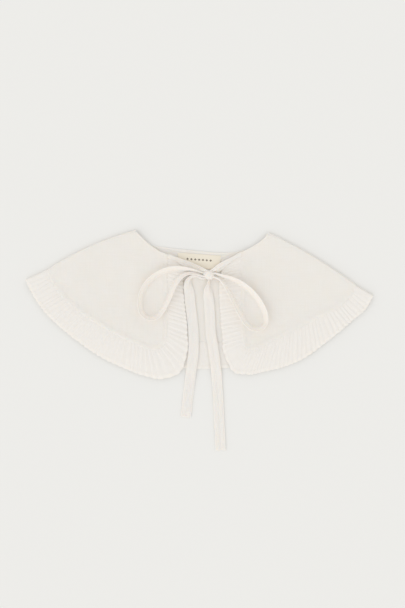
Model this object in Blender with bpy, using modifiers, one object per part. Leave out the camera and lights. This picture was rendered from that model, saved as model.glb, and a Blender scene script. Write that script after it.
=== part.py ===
# Detachable ruffle collar in white cotton, tied in a bow and laid flat on a table.
#
# The collar lies as it is worn, seen from the front: the back panel is face down on the
# table, and the two fronts are folded over it at the shoulders. Left is -X, right is +X,
# the neck is towards +Y, and Z = 0 is the table. A gathered ruffle runs round every outer
# edge, and a tie from each front's neck end meets the other in a bow.
import math

import bmesh
import bpy
import numpy as np

MM = 0.001

# Driving dimensions, in millimetres.
CLOTH = 1.2  # the panels are two layers of cotton, turned and pressed
RUFFLE_CLOTH = 1.3  # hemmed gathering strip, measured across its waves
TIE_CLOTH = 1.2  # a strip folded and sewn into a flat tube
SEAM_GAP = 0.4  # between pieces that are sewn edge to edge
FOLD_RADIUS = 2.2  # the shoulder fold, to the middle of the cloth
TUCK = 4.0  # how far a front reaches under itself to the shoulder seam
LIE = 3.6  # the middle of a front where it sinks on the back panel
FOLD_REACH = 18.0  # how far the roundness of the fold is felt
SEAM_REACH = 9.0  # how far the thick gathered seam props the front up
SWELL = 0.5  # the soft rise and dip of the fronts
SWELL_LONG, SWELL_WIDE = 118.0, 164.0  # from rise to rise, across and down a front
FRONT_WAVES = 58  # gathers in each front's ruffle
BACK_WAVES = 80  # gathers in the back's ruffle
COLUMNS_A_WAVE = 4
PANEL_ROWS = [0, 0.14, 0.3, 0.46, 0.62, 0.76, 0.88, 1.0]  # neck to seam
ROOT_WAVE = 0.45  # half height of a gather at the seam
TIP_WAVE = 1.25  # and at the free edge
BACK_RIDGE = 1.0  # the back's gathers, raised over an underside that lies flat
LABEL = {"wide": 58.0, "high": 19.0, "thick": 1.0, "x": 0.0, "y": 106.3, "turn": -4.0}
KNOT = {"x": 13.5, "y": 87.5, "foot": 1.6, "wide": 15.0, "deep": 11.0, "high": 8.6, "round": 2.6}

HALF = CLOTH / 2
FOLD_TOP = HALF + 2 * FOLD_RADIUS
BACK_TOP = CLOTH

# Each front is a fan of sections from its neck edge to its outer edge. The neck table runs
# from the shoulder to where the ruffle is caught in the neck seam. In the edge table a row
# is one section: the ruffle's seam, its tip, and how far the tip drops below the seam. The
# rows run from the shoulder fold along the hem, round the corner and up the front edge.
LEFT = {
    "inward": (0.410, -0.912),
    "bow": 5.4,
    "neck": [(-85, 148), (-78.5, 140), (-69.5, 131.5), (-59.5, 124), (-52.5, 119.5)],
    "edge": [
        # seam x, seam y, tip x, tip y, drop
        (-205, 94.5, -233.5, 81, 0.0),
        (-197, 75.5, -224, 61, 0.3),
        (-182, 55.5, -208, 38, 0.4),
        (-162, 38, -187.5, 17.5, 0.4),
        (-139, 23, -160.5, -4, 0.4),
        (-116, 9.5, -132.5, -23, 0.4),
        (-94.5, -1.5, -101, -38, 0.5),
        (-75.5, -9.5, -73.5, -48.4, 0.6),
        (-61, -13.5, -48.5, -52.4, 0.5),
        (-50, -10, -25.5, -43.6, 0.4),
        (-44, 0, -16.4, -19, 0.4),
        (-42, 20, -15.6, 10, 0.5),
        (-42, 54, -19.2, 48, 1.1),
        (-42, 85, -21.3, 80, 1.0),
        (-41.5, 115, -17.5, 105.5, 0.2),
    ],
}
RIGHT = {
    "inward": (-0.515, -0.858),
    "bow": 4.0,
    "neck": [(93, 144.5), (89, 139), (84, 134), (77, 129), (67.5, 123.5)],
    "edge": [
        # seam x, seam y, tip x, tip y, drop
        (212, 73.5, 235, 59.5, 0.0),
        (205, 59.5, 225.5, 43, 0.3),
        (193, 47, 209, 28.5, 0.4),
        (175.5, 37, 190.5, 12, 0.4),
        (158, 28.5, 166.5, -7, 0.4),
        (140.5, 18, 142, -24.5, 0.4),
        (120, 8, 115, -36, 0.5),
        (98.5, -2, 86.5, -43, 0.6),
        (78.5, -12, 64.5, -46.3, 0.5),
        (66, -14, 45, -41.5, 0.4),
        (59.5, -7, 34.6, -21, 0.4),
        (57.5, 10, 31.6, 3, 0.5),
        (56.5, 40.5, 28.6, 35, 1.1),
        (56.5, 78.5, 27.4, 74, 1.0),
        (56.5, 118, 32.5, 103.5, 0.2),
    ],
}
# The back panel's neck edge and its ruffle's sections, from the left shoulder to the right.
BACK_NECK = [
    (-85, 148), (-73, 135.5), (-59.5, 128), (-36.5, 124), (-12, 121.5), (11, 119),
    (35, 118), (55.5, 120), (69, 123.5), (78.5, 127.5), (86.5, 134.5), (93, 144.5),
]
BACK_EDGE = [
    # seam x, seam y, tip x, tip y
    (-205, 94.5, -233.5, 81),
    (-187.5, 59.5, -214.5, 50),
    (-155, 35, -179.5, 17.5),
    (-106.5, 15, -123, -13.5),
    (-52.5, 1.5, -59.5, -32.5),
    (1.5, -2.5, 4, -39),
    (55.5, 0.5, 65, -34),
    (116, 16, 129.5, -15),
    (163.5, 38.5, 181, 13.5),
    (198.5, 61, 218.5, 42),
    (212, 73.5, 235, 59.5),
]
# The ties, one table for each stretch: the middle of the strip, the height of its lower
# edge, how far it is turned up on edge in degrees, and its width.
TIES = {
    "tie_lead_left": [
        (-15.0, 103.9, 3.6, 20, 8.0),
        (-9, 101.6, 3.5, 32, 7.5),
        (0, 97.6, 3.3, 45, 7.0),
        (7.2, 94.0, 3.0, 60, 6.5),
    ],
    "tie_lead_right": [
        (29.1, 101.3, 3.6, 20, 8.0),
        (25.8, 99.4, 3.5, 32, 7.5),
        (22.4, 97.2, 3.3, 45, 7.0),
        (19.0, 94.2, 3.0, 60, 6.5),
    ],
    "tie_loop_left": [
        (5.6, 90.2, 2.3, 88, 6.5),
        (-4, 93.6, 4.8, 75, 8.5),
        (-14, 96, 7.0, 62, 10.5),
        (-28, 96.5, 7.4, 55, 12.0),
        (-45, 93.5, 6.9, 52, 12.0),
        (-60, 86, 5.2, 52, 12.0),
        (-71, 75, 5.0, 52, 12.0),
        (-77.5, 62, 5.0, 52, 12.0),
        (-79, 49, 5.0, 52, 12.0),
        (-76.5, 38, 5.0, 54, 12.0),
        (-69, 31.5, 5.0, 58, 12.0),
        (-59.5, 31.5, 5.0, 58, 12.0),
        (-51, 38.5, 5.8, 54, 12.0),
        (-44, 49.5, 7.0, 52, 12.0),
        (-38.5, 61.5, 7.4, 52, 12.0),
        (-33.5, 73, 7.4, 55, 11.5),
        (-26, 83.5, 7.3, 60, 10.5),
        (-15, 89.4, 6.6, 68, 9.5),
        (-4, 88.9, 4.4, 78, 8.0),
        (5.6, 86.3, 2.3, 88, 6.5),
    ],
    "tie_loop_right": [
        (21.4, 89.8, 3.0, 88, 6.5),
        (26.5, 88.6, 6.0, 82, 7.5),
        (32, 86.7, 7.2, 74, 8.5),
        (41, 83.5, 7.2, 62, 10.5),
        (53, 78, 7.4, 55, 12.0),
        (65, 70, 6.4, 52, 12.0),
        (76, 59, 5.2, 52, 12.0),
        (84.5, 46, 5.0, 52, 12.0),
        (89.5, 33, 5.0, 54, 12.0),
        (88.5, 21.5, 5.0, 58, 12.0),
        (82, 15.5, 5.0, 58, 12.0),
        (73, 15.5, 5.0, 56, 12.0),
        (64.5, 22, 6.0, 54, 12.0),
        (57.5, 33, 7.2, 52, 12.0),
        (51, 45, 7.4, 52, 12.0),
        (45, 56.5, 7.4, 55, 11.5),
        (38.5, 68, 7.4, 60, 10.5),
        (32, 76.5, 7.4, 72, 8.5),
        (26.5, 81.2, 6.6, 80, 7.5),
        (21.4, 84.6, 3.0, 88, 6.5),
    ],
    "tie_tail_left": [
        (5.6, 82.6, 2.2, 86, 6.0),
        (-1.5, 85.4, 2.0, 84, 6.5),
        (-8, 85.8, 1.9, 78, 7.5),
        (-12.4, 81.5, 1.8, 66, 9.0),
        (-13.6, 74, 1.9, 42, 11.5),
        (-12.6, 64, 1.8, 15, 13.5),
        (-11, 50, 1.8, 0, 14.0),
        (-8.8, 34, 1.8, 0, 14.0),
        (-7.4, 15, 1.9, 0, 14.0),
        (-6.8, -5, 2.6, 0, 14.0),
        (-7.8, -22, 2.7, 0, 14.0),
        (-10.2, -38, 2.5, 0, 14.0),
        (-12.2, -54, 0.6, 0, 14.0),
        (-14.2, -70, 0.0, 0, 14.0),
        (-16.2, -88, 0.0, 0, 14.0),
        (-17.8, -104, 0.0, 0, 14.0),
    ],
    "tie_tail_right": [
        (14, 81.6, 2.0, 84, 6.0),
        (13, 76, 1.9, 62, 8.0),
        (12.2, 69, 1.8, 34, 11.5),
        (12.4, 60, 1.8, 10, 13.5),
        (14, 44, 1.8, 0, 14.0),
        (15, 26, 1.8, 0, 14.0),
        (15.8, 10, 2.0, 0, 14.0),
        (18.5, -7, 2.7, 0, 14.0),
        (21, -24, 2.7, 0, 14.0),
        (22.8, -38, 2.5, 0, 14.0),
        (24.2, -54, 0.6, 0, 14.0),
        (25.6, -74, 0.0, 0, 14.0),
        (26.8, -100, 0.0, 0, 14.0),
        (28.2, -126, 0.0, 0, 14.0),
        (29.2, -149, 0.0, 0, 14.0),
    ],
}
# Which way a strip's upper edge leans: 1 to the right of its run, -1 to the left.
LEAN = {
    "tie_lead_left": -1,
    "tie_lead_right": 1,
    "tie_loop_left": 1,
    "tie_loop_right": -1,
    "tie_tail_left": 1,
    "tie_tail_right": 1,
}


def clear_scene():
    for thing in list(bpy.data.objects):
        bpy.data.objects.remove(thing)


def cloth_material(name, colour, roughness):
    made = bpy.data.materials.new(name)
    made.use_nodes = True
    shader = made.node_tree.nodes["Principled BSDF"]
    shader.inputs["Base Color"].default_value = (*colour, 1.0)
    shader.inputs["Roughness"].default_value = roughness
    shader.inputs["Metallic"].default_value = 0.0
    return made


def smooth(table, at):
    # A smooth line through the table's rows, read at shares 0 to 1 of the length of its
    # first two columns. Each stretch is a cubic that keeps the slope at both its rows.
    rows = np.array(table, float)
    along = np.concatenate([[0.0], np.cumsum(np.linalg.norm(np.diff(rows[:, :2], axis=0), axis=1))])
    along /= along[-1]
    slopes = np.gradient(rows, along, axis=0)
    at = np.asarray(at, float)
    first = np.clip(np.searchsorted(along, at, side="right") - 1, 0, len(along) - 2)
    length = (along[first + 1] - along[first])[:, None]
    t = (at - along[first])[:, None] / length
    return (
        (2 * t**3 - 3 * t**2 + 1) * rows[first]
        + (t**3 - 2 * t**2 + t) * length * slopes[first]
        + (3 * t**2 - 2 * t**3) * rows[first + 1]
        + (t**3 - t**2) * length * slopes[first + 1]
    )


def fading(share, reach):
    # 1 at share 0, smoothly down to 0 at reach.
    return np.clip(1 - share / reach, 0, 1) ** 2


def unit(vectors):
    return vectors / np.linalg.norm(vectors, axis=-1, keepdims=True)


def cloth_wall(name, upper, lower, finish):
    # A closed wall of cloth: a grid extruded once, with the two faces' points set from the
    # arrays upper and lower, [row, column, xyz] in millimetres.
    rows, columns = upper.shape[:2]
    shape = bmesh.new()
    bmesh.ops.create_grid(shape, x_segments=columns - 1, y_segments=rows - 1, size=0.5)
    raised = bmesh.ops.extrude_face_region(shape, geom=shape.faces[:])["geom"]
    raised = {part for part in raised if isinstance(part, bmesh.types.BMVert)}
    for vertex in shape.verts:
        column = round((vertex.co.x + 0.5) * (columns - 1))
        row = round((vertex.co.y + 0.5) * (rows - 1))
        face = upper if vertex in raised else lower
        vertex.co = face[row, column] * MM
    bmesh.ops.recalc_face_normals(shape, faces=shape.faces[:])
    mesh = bpy.data.meshes.new(name)
    shape.to_mesh(mesh)
    shape.free()
    mesh.shade_smooth()
    mesh.set_sharp_from_angle(angle=math.radians(50))
    mesh.materials.append(finish)
    made = bpy.data.objects.new(name, mesh)
    return made


def outward_normals(middle):
    # The normal of a grid of points, on the side that faces up at its last column.
    along = np.gradient(middle, axis=1)
    across = np.gradient(middle, axis=0)
    normal = unit(np.cross(along, across))
    return normal * np.sign(normal[len(middle) // 2, -1, 2])


def front_middle(front, around, across):
    # The middle of a front's cloth. around is -2 to -1 on the tuck, -1 to 0 round the fold
    # and 0 to 1 from the fold to the neck end. across is 0 at the neck, 1 at the ruffle's
    # seam and 2 at its tip.
    inward = np.array(front["inward"])
    over = np.clip(around, 0, 1)
    neck = smooth(front["neck"], over)[None]
    edge = smooth(front["edge"], over)[None]
    seam, tip, drop = edge[..., 0:2], edge[..., 2:4], edge[..., 4]
    panel = np.minimum(across, 1)[:, None, None]
    frill = np.maximum(across - 1, 0)[:, None, None]
    chord = neck + (seam - neck) * panel
    bow = front["bow"] * 4 * panel * (1 - panel) * fading(over, 0.35)[None, :, None]
    turn = math.pi * np.clip(-around, 0, 1)
    tuck = TUCK * np.clip(-around - 1, 0, 1)
    set_in = np.where(around > 0, FOLD_RADIUS * fading(over, 0.3), FOLD_RADIUS * (1 - np.sin(turn)) + tuck)
    plan = chord + (tip - seam) * frill + inward * (set_in[None, :, None] - bow)
    from_fold = ((plan - neck[:, :1]) @ inward).clip(0)
    seam_line = smooth(front["edge"], np.linspace(0, 1, 300))[:, :2]
    from_seam = np.linalg.norm(plan[:, :, None] - seam_line, axis=-1).min(axis=-1) * (panel[..., 0] < 1)
    by_fold = np.exp(-((from_fold / FOLD_REACH) ** 2))
    by_seam = np.exp(-((from_seam / SEAM_REACH) ** 2))
    propped = 1 - (1 - by_fold) * (1 - by_seam)
    x, y = plan[..., 0], plan[..., 1]
    swell = SWELL * np.sin(2 * math.pi * (x + 0.4 * y) / SWELL_LONG) * np.cos(2 * math.pi * y / SWELL_WIDE)
    lying = LIE + (FOLD_TOP - LIE) * propped + swell * (1 - propped) - drop * frill[..., 0] ** 1.5
    folded = HALF + FOLD_RADIUS * (1 + np.cos(turn))[None]
    height = np.where(around[None] > 0, lying, np.broadcast_to(folded, lying.shape))
    return np.concatenate([plan, height[..., None]], axis=-1)


def fold_columns():
    # The tuck's end, then the turn round the fold in even steps.
    return np.concatenate([[-2.0], np.linspace(-1, 0, 6)])


def front_panel(side, front, finish):
    around = np.concatenate([fold_columns(), np.linspace(0, 1, FRONT_WAVES + 1)[1:]])
    middle = front_middle(front, around, np.array(PANEL_ROWS))
    normal = outward_normals(middle)
    return cloth_wall("collar_front_" + side, middle + HALF * normal, middle - HALF * normal, finish)


def gathers(count, columns, first_column):
    # Half height of the gathers at each column, from -1 to 1: one rise and fall for each
    # wave, with neighbours of unlike height.
    step = np.arange(columns) - first_column
    phase = 2 * math.pi * step / COLUMNS_A_WAVE
    wave = np.floor(step / COLUMNS_A_WAVE)
    unlike = 0.82 + 0.18 * np.sin(2.4 * wave) * np.cos(0.9 * wave + count)
    return np.where(step > 0, np.sin(phase) * unlike, 0.0)


def front_ruffle(side, front, finish):
    fold = fold_columns()
    columns = FRONT_WAVES * COLUMNS_A_WAVE
    around = np.concatenate([fold, np.linspace(0, 1, columns + 1)[1:]])
    across = np.array([1.0, 1.5, 2.0])
    middle = front_middle(front, around, across)
    edge = smooth(front["edge"], np.clip(around, 0, 1))
    middle[0, :, :2] += SEAM_GAP * unit(edge[:, 2:4] - edge[:, 0:2])
    normal = outward_normals(middle)
    size = np.array([ROOT_WAVE, 0.5 * (ROOT_WAVE + TIP_WAVE), TIP_WAVE])[:, None]
    wave = (size * gathers(FRONT_WAVES, len(around), len(fold) - 1))[..., None]
    half = RUFFLE_CLOTH / 2
    calm = np.clip(around, 0, 0.03)[None, :, None] / 0.03
    half = HALF + (half - HALF) * calm
    return cloth_wall(
        "ruffle_front_" + side,
        middle + (wave * calm + half) * normal,
        middle + (wave * calm - half) * normal,
        finish,
    )


def back_plan(along, across):
    # Points of the back in plan. across is 0 at the neck, 1 at the ruffle's seam, 2 at its
    # tip. Both ends stop at the fronts' shoulder seams.
    neck = smooth(BACK_NECK, along)[None]
    edge = smooth(BACK_EDGE, along)[None]
    seam, tip = edge[..., 0:2], edge[..., 2:4]
    panel = np.minimum(across, 1)[:, None, None]
    frill = np.maximum(across - 1, 0)[:, None, None]
    plan = neck + (seam - neck) * panel + (tip - seam) * frill
    for front, share in ((LEFT, along), (RIGHT, 1 - along)):
        set_in = FOLD_RADIUS + TUCK + SEAM_GAP - front["bow"] * 4 * panel * (1 - panel)
        plan = plan + np.array(front["inward"]) * set_in * fading(share, 0.25)[None, :, None]
    return plan


def at_height(plan, height):
    flat = np.broadcast_to(np.asarray(height, float), plan.shape[:2])
    return np.concatenate([plan, flat[..., None]], axis=-1)


def back_panel(finish):
    plan = back_plan(np.linspace(0, 1, BACK_WAVES // 2 + 1), np.array(PANEL_ROWS))
    return cloth_wall("collar_back", at_height(plan, BACK_TOP), at_height(plan, 0), finish)


def back_ruffle(finish):
    columns = BACK_WAVES * COLUMNS_A_WAVE + 1
    along = np.linspace(0, 1, columns)
    plan = back_plan(along, np.array([1.0, 1.5, 2.0]))
    edge = smooth(BACK_EDGE, along)
    plan[0] += SEAM_GAP * unit(edge[:, 2:4] - edge[:, 0:2])
    rise = 0.5 + 0.5 * gathers(BACK_WAVES, columns, 0)
    ends = np.clip(np.minimum(along, 1 - along) / 0.04, 0, 1)
    size = np.array([0.5, 1.0, 1.0])[:, None]
    top = BACK_TOP + BACK_RIDGE * size * (rise * ends)[None]
    return cloth_wall("ruffle_back", at_height(plan, top), at_height(plan, 0), finish)


def neck_label(finish):
    # Lies on the back panel, a seam gap above it.
    turn = math.radians(LABEL["turn"])
    right = np.array([math.cos(turn), math.sin(turn)]) * LABEL["wide"] / 2
    up = np.array([-math.sin(turn), math.cos(turn)]) * LABEL["high"] / 2
    centre = np.array([LABEL["x"], LABEL["y"]])
    plan = np.array([[centre + i * right + j * up for i in (-1, 0, 1)] for j in (-1, 1)])
    foot = BACK_TOP + SEAM_GAP
    return cloth_wall("neck_label", at_height(plan, foot + LABEL["thick"]), at_height(plan, foot), finish)


def tie_stretch(name, finish):
    # A flat strip carried along its table's line, turned up on edge as the table says.
    table = TIES[name]
    length = np.linalg.norm(np.diff(np.array(table)[:, :2], axis=0), axis=1).sum()
    line = smooth(table, np.linspace(0, 1, max(6, round(length / 4.5))))
    run = unit(np.gradient(line[:, :2], axis=0))
    side = LEAN[name] * np.stack([run[:, 1], -run[:, 0]], axis=1)
    foot, tilt, width = line[:, 2].clip(0), np.radians(line[:, 3]), line[:, 4]
    upright, level = np.sin(tilt)[:, None], np.cos(tilt)[:, None]
    across = np.concatenate([level * side, upright], axis=1)
    normal = np.concatenate([-upright * side, level], axis=1)
    middle_height = foot + width / 2 * np.sin(tilt) + TIE_CLOTH / 2 * np.abs(np.cos(tilt))
    middle = np.concatenate([line[:, :2], middle_height[:, None]], axis=1)
    strips = np.array([-0.5, 0.5])[:, None, None]
    sheet = middle[None] + strips * width[None, :, None] * across[None]
    thick = TIE_CLOTH / 2 * normal[None]
    return cloth_wall(name, sheet + thick, sheet - thick, finish)


def tie_knot(finish):
    # The bow's knot: a rounded block where the six stretches of tie meet.
    bpy.ops.mesh.primitive_cube_add(size=1, location=(0, 0, 0))
    knot = bpy.context.object
    knot.name = "tie_knot"
    size = np.array([KNOT["wide"], KNOT["deep"], KNOT["high"]]) * MM
    for vertex in knot.data.vertices:
        vertex.co = np.array(vertex.co) * size
    knot.location = (KNOT["x"] * MM, KNOT["y"] * MM, (KNOT["foot"] + KNOT["high"] / 2) * MM)
    rounding = knot.modifiers.new("rounding", "BEVEL")
    rounding.width = KNOT["round"] * MM
    rounding.segments = 3
    knot.data.shade_smooth()
    knot.data.materials.append(finish)
    return knot


def centre_on_table(pieces):
    # Puts the origin under the middle of the whole collar, on the table.
    bpy.context.view_layer.update()
    corners = np.array([
        piece.matrix_world @ vertex.co for piece in pieces for vertex in piece.data.vertices
    ])
    middle = (corners.min(axis=0) + corners.max(axis=0)) / 2
    for piece in pieces:
        piece.location.x -= middle[0]
        piece.location.y -= middle[1]
    print("origin moved by", np.round(middle[:2] / MM, 3), "mm; lowest point", corners[:, 2].min() / MM)


def main():
    clear_scene()
    group = bpy.data.collections.new("ruffle_collar")
    bpy.context.scene.collection.children.link(group)
    cotton = cloth_material("cotton", (0.84, 0.80, 0.75), 0.9)
    tie_cotton = cloth_material("tie_cotton", (0.86, 0.83, 0.78), 0.85)
    label_tape = cloth_material("label_tape", (0.86, 0.78, 0.64), 0.7)
    pieces = [back_panel(cotton), back_ruffle(cotton), neck_label(label_tape)]
    for side, front in (("left", LEFT), ("right", RIGHT)):
        pieces += [front_panel(side, front, cotton), front_ruffle(side, front, cotton)]
    pieces += [tie_stretch(name, tie_cotton) for name in TIES]
    for piece in pieces:
        group.objects.link(piece)
    knot = tie_knot(tie_cotton)
    for holder in list(knot.users_collection):
        holder.objects.unlink(knot)
    group.objects.link(knot)
    centre_on_table([*pieces, knot])


main()
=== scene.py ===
import math

import bpy
import numpy as np
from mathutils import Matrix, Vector


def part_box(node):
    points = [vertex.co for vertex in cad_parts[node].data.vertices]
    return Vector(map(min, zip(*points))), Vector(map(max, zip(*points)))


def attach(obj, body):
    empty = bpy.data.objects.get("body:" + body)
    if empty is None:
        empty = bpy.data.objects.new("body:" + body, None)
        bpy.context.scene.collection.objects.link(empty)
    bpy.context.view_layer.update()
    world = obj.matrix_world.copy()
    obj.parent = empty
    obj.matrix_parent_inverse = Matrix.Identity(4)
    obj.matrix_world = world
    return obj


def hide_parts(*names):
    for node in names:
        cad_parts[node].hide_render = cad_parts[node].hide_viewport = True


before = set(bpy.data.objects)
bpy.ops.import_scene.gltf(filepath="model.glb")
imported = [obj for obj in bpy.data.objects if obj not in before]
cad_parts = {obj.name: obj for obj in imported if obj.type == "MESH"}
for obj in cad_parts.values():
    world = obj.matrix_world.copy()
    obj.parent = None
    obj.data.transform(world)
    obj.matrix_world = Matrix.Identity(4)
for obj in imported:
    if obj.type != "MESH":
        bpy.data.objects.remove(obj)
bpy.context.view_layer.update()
scene = bpy.context.scene
mm = 0.001
tau = 2 * math.pi
waveSpan = 0.314  # a wave texture at scale 1 repeats after this length

# All tables below are in millimetres on the laid collar: x to the right, y towards the neck.
# The frame's origin is under the middle of the collar, so the tables are shifted to it once,
# by where the label lies.
label = {
    "x": 0.0, "y": 106.3, "wide": 58.0, "high": 19.0, "turn": -4.0, "foot": 1.35, "thick": 0.5,
    "curl": 0.25, "uneven": 0.06, "unevenSize": 5.0,
}
labelLow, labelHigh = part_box("neck_label")
shift = np.array([
    (labelLow.x + labelHigh.x) / 2 / mm - label["x"],
    (labelLow.y + labelHigh.y) / 2 / mm - label["y"],
    0.0,
])

cloth = {
    "panel": 1.0,  # two layers, turned and pressed
    "ruffle": 0.5,  # one layer
    "hem": 0.45,  # what the ruffle's rolled hem adds
    "back": 1.0,
    "half": 0.6,  # half of the solid's thickness, which sets the heights
    "foldRadius": 2.2,
    "tuck": 4.0,  # how far a front reaches under itself at the shoulder
    "seamGap": 0.1,  # between the tuck and the back panel
    "lie": 3.6,  # the middle of a front where it sinks on the back panel
    "foldReach": 18.0,  # how far the fold, and the thick seam, prop the front up
    "seamReach": 9.0,
    "swell": 0.5,  # the soft rise and dip of the fronts, and its lengths down and across
    "swellLong": 118.0,
    "swellWide": 164.0,
    "uneven": 0.10,  # soft unevenness of a front, and its size
    "unevenSize": 34,
    "fine": 0.035,  # and the finer one
    "fineSize": 11,
    "backUneven": 0.07,
    "backUnevenSize": 40,
}
# Round lengths, which place the rims and stretch the weave: how long each piece is round the neck
# and how deep from neck to seam, and the ruffle's depth as it lies and as it was cut.
rough = {
    "frontLong": 420, "frontDeep": 130, "backLong": 460, "backDeep": 120, "backHem": 520,
    "ruffleDeep": 32, "ruffleCut": 34,
}
foldTop = cloth["half"] + 2 * cloth["foldRadius"]

leftFront = {
    "inward": (0.410, -0.912),
    "bow": 5.4,
    "neck": [(-85, 148), (-78.5, 140), (-69.5, 131.5), (-59.5, 124), (-52.5, 119.5)],
    "edge": [  # seam x, seam y, tip x, tip y, drop
        (-205, 94.5, -233.5, 81, 0.0),
        (-197, 75.5, -224, 61, 0.3),
        (-182, 55.5, -208, 38, 0.4),
        (-162, 38, -187.5, 17.5, 0.4),
        (-139, 23, -160.5, -4, 0.4),
        (-116, 9.5, -132.5, -23, 0.4),
        (-94.5, -1.5, -101, -38, 0.5),
        (-75.5, -9.5, -73.5, -48.4, 0.6),
        (-61, -13.5, -48.5, -52.4, 0.5),
        (-50, -10, -25.5, -43.6, 0.4),
        (-44, 0, -16.4, -19, 0.4),
        (-42, 20, -15.6, 10, 0.5),
        (-42, 54, -19.2, 48, 1.1),
        (-42, 85, -21.3, 80, 1.0),
        (-41.5, 115, -17.5, 105.5, 0.2),
    ],
    "waves": 58,
    "creases": [  # from x, y, to x, y, width, height: below nothing it is a trough
        (-168, 46, -82, -9, 10.0, 0.4),
        (-160, 52, -60, -2, 6.0, 0.25),
        (-180, 96, -96, 64, 9.0, 0.35),
        (-150, 62, -70, 38, 7.0, -0.3),
        (-112, 118, -66, 66, 8.0, 0.3),
        (-205, 84, -170, 70, 5.0, -0.35),
        (-90, 30, -50, 8, 6.0, -0.35),
        (-70, 124, -50, 84, 5.5, 0.3),
    ],
    "seed": 3,
}
rightFront = {
    "inward": (-0.515, -0.858),
    "bow": 4.0,
    "neck": [(93, 144.5), (89, 139), (84, 134), (77, 129), (67.5, 123.5)],
    "edge": [  # seam x, seam y, tip x, tip y, drop
        (212, 73.5, 235, 59.5, 0.0),
        (205, 59.5, 225.5, 43, 0.3),
        (193, 47, 209, 28.5, 0.4),
        (175.5, 37, 190.5, 12, 0.4),
        (158, 28.5, 166.5, -7, 0.4),
        (140.5, 18, 142, -24.5, 0.4),
        (120, 8, 115, -36, 0.5),
        (98.5, -2, 86.5, -43, 0.6),
        (78.5, -12, 64.5, -46.3, 0.5),
        (66, -14, 45, -41.5, 0.4),
        (59.5, -7, 34.6, -21, 0.4),
        (57.5, 10, 31.6, 3, 0.5),
        (56.5, 40.5, 28.6, 35, 1.1),
        (56.5, 78.5, 27.4, 74, 1.0),
        (56.5, 118, 32.5, 103.5, 0.2),
    ],
    "waves": 58,
    "creases": [
        (172, 38, 84, -6, 3.5, -0.5),
        (160, 44, 80, 2, 5.0, 0.3),
        (178, 84, 104, 62, 8.0, 0.3),
        (150, 56, 96, 34, 7.0, -0.25),
        (120, 120, 84, 78, 7.5, 0.35),
        (108, 128, 90, 104, 4.5, -0.35),
        (92, 24, 66, 2, 6.0, -0.3),
        (204, 70, 176, 58, 5.0, -0.3),
    ],
    "seed": 5,
}
backPiece = {
    "neck": [
        (-85, 148), (-73, 135.5), (-59.5, 128), (-36.5, 124), (-12, 121.5), (11, 119),
        (35, 118), (55.5, 120), (69, 123.5), (78.5, 127.5), (86.5, 134.5), (93, 144.5),
    ],
    "edge": [  # seam x, seam y, tip x, tip y
        (-205, 94.5, -233.5, 81),
        (-187.5, 59.5, -214.5, 50),
        (-155, 35, -179.5, 17.5),
        (-106.5, 15, -123, -13.5),
        (-52.5, 1.5, -59.5, -32.5),
        (1.5, -2.5, 4, -39),
        (55.5, 0.5, 65, -34),
        (116, 16, 129.5, -15),
        (163.5, 38.5, 181, 13.5),
        (198.5, 61, 218.5, 42),
        (212, 73.5, 235, 59.5),
    ],
    "waves": 80,
    "creases": [
        (-20, 96, 4, 30, 5.0, -0.1),
        (40, 100, 22, 24, 6.0, -0.1),
        (-30, 30, 50, 22, 7.0, 0.075),
    ],
    "seamShare": 0.15,  # its seam is pressed flatter than the fronts'
    "seed": 7,
}
gather = {
    "seam": 0.34,  # half height of a wave at the seam
    "tip": 0.56,  # and at the hem
    "pleat": 0.2,  # the small pleats that the gathering thread draws up
    "pleatReach": 0.3,
    "wander": 1.3,  # how far, in radians, a wave strays from even spacing
    "crumple": 0.2,  # unevenness, and its size
    "crumpleSize": 13,
    "sag": 1.2,  # how far the hem hangs below the ruffle's middle
    "rootDip": 0.42,  # how far the root lies below the panel's middle, and over what reach
    "rootReach": 2.4,
    "scallop": 0.35,  # how far the hem swings in and out with the waves
    "endReach": 6.0,  # how near the neck end the waves die out
    "backShare": 0.8 * 1.5 / 2.6,  # the back's ruffle lies on the table, so its waves are lower,
    "backRise": 0.75,  # are raised by this
    "backHigh": 1.5,  # and are cut off at nothing and at this
    "under": 1.0,  # how far the strip reaches under the panel's edge
    "fullness": 1.45,  # strip before gathering, for each length of seam
    "columns": 10,  # for each wave
    "backColumns": 8,
    "hemRow": 0.87,  # where the hem begins, and where it is stitched
    "hemStitch": 0.855,
}
allowance = {
    "wide": 6.5,  # the seam allowance under the panel's edge, sewn down along its inner side
    "stitched": 5.9,
    "high": 0.16,
    "valley": 0.3,  # along the seam itself
    "valleyWide": 1.3,
    "pucker": 0.2,  # what the gathers pull into the panel
    "puckerReach": 6.0,
    "groove": 0.16,  # what the row of stitches presses in
}
neckEdge = {"wide": 4.0, "stitched": 3.6, "high": 0.2, "groove": 0.12}


# Vectors made one long.
def unit(vectors):
    return vectors / np.maximum(np.linalg.norm(vectors, axis=-1, keepdims=True), 1e-9)


# A smooth line through the table's rows, read at shares 0 to 1 of the length of its first two
# columns: between two rows, a cubic that keeps the slope at both.
def smoothLine(table, at):
    rows = np.array(table, float)
    along = np.concatenate([[0.0], np.cumsum(np.linalg.norm(np.diff(rows[:, :2], axis=0), axis=1))])
    along /= along[-1]
    slopes = np.gradient(rows, along, axis=0)
    at = np.asarray(at, float)
    first = np.clip(np.searchsorted(along, at, side="right") - 1, 0, len(along) - 2)
    length = (along[first + 1] - along[first])[:, None]
    t = (at - along[first])[:, None] / length
    return (
        (2 * t**3 - 3 * t**2 + 1) * rows[first]
        + (t**3 - 2 * t**2 + t) * length * slopes[first]
        + (3 * t**2 - 2 * t**3) * rows[first + 1]
        + (t**3 - t**2) * length * slopes[first + 1]
    )


# 1 at nothing, smoothly down to 0 at reach.
def fading(share, reach):
    return np.clip(1 - share / reach, 0, 1) ** 2


# 0 below low, 1 above high, and a soft step between.
def softStep(value, low, high):
    t = np.clip((value - low) / (high - low), 0, 1)
    return t * t * (3 - 2 * t)


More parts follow.
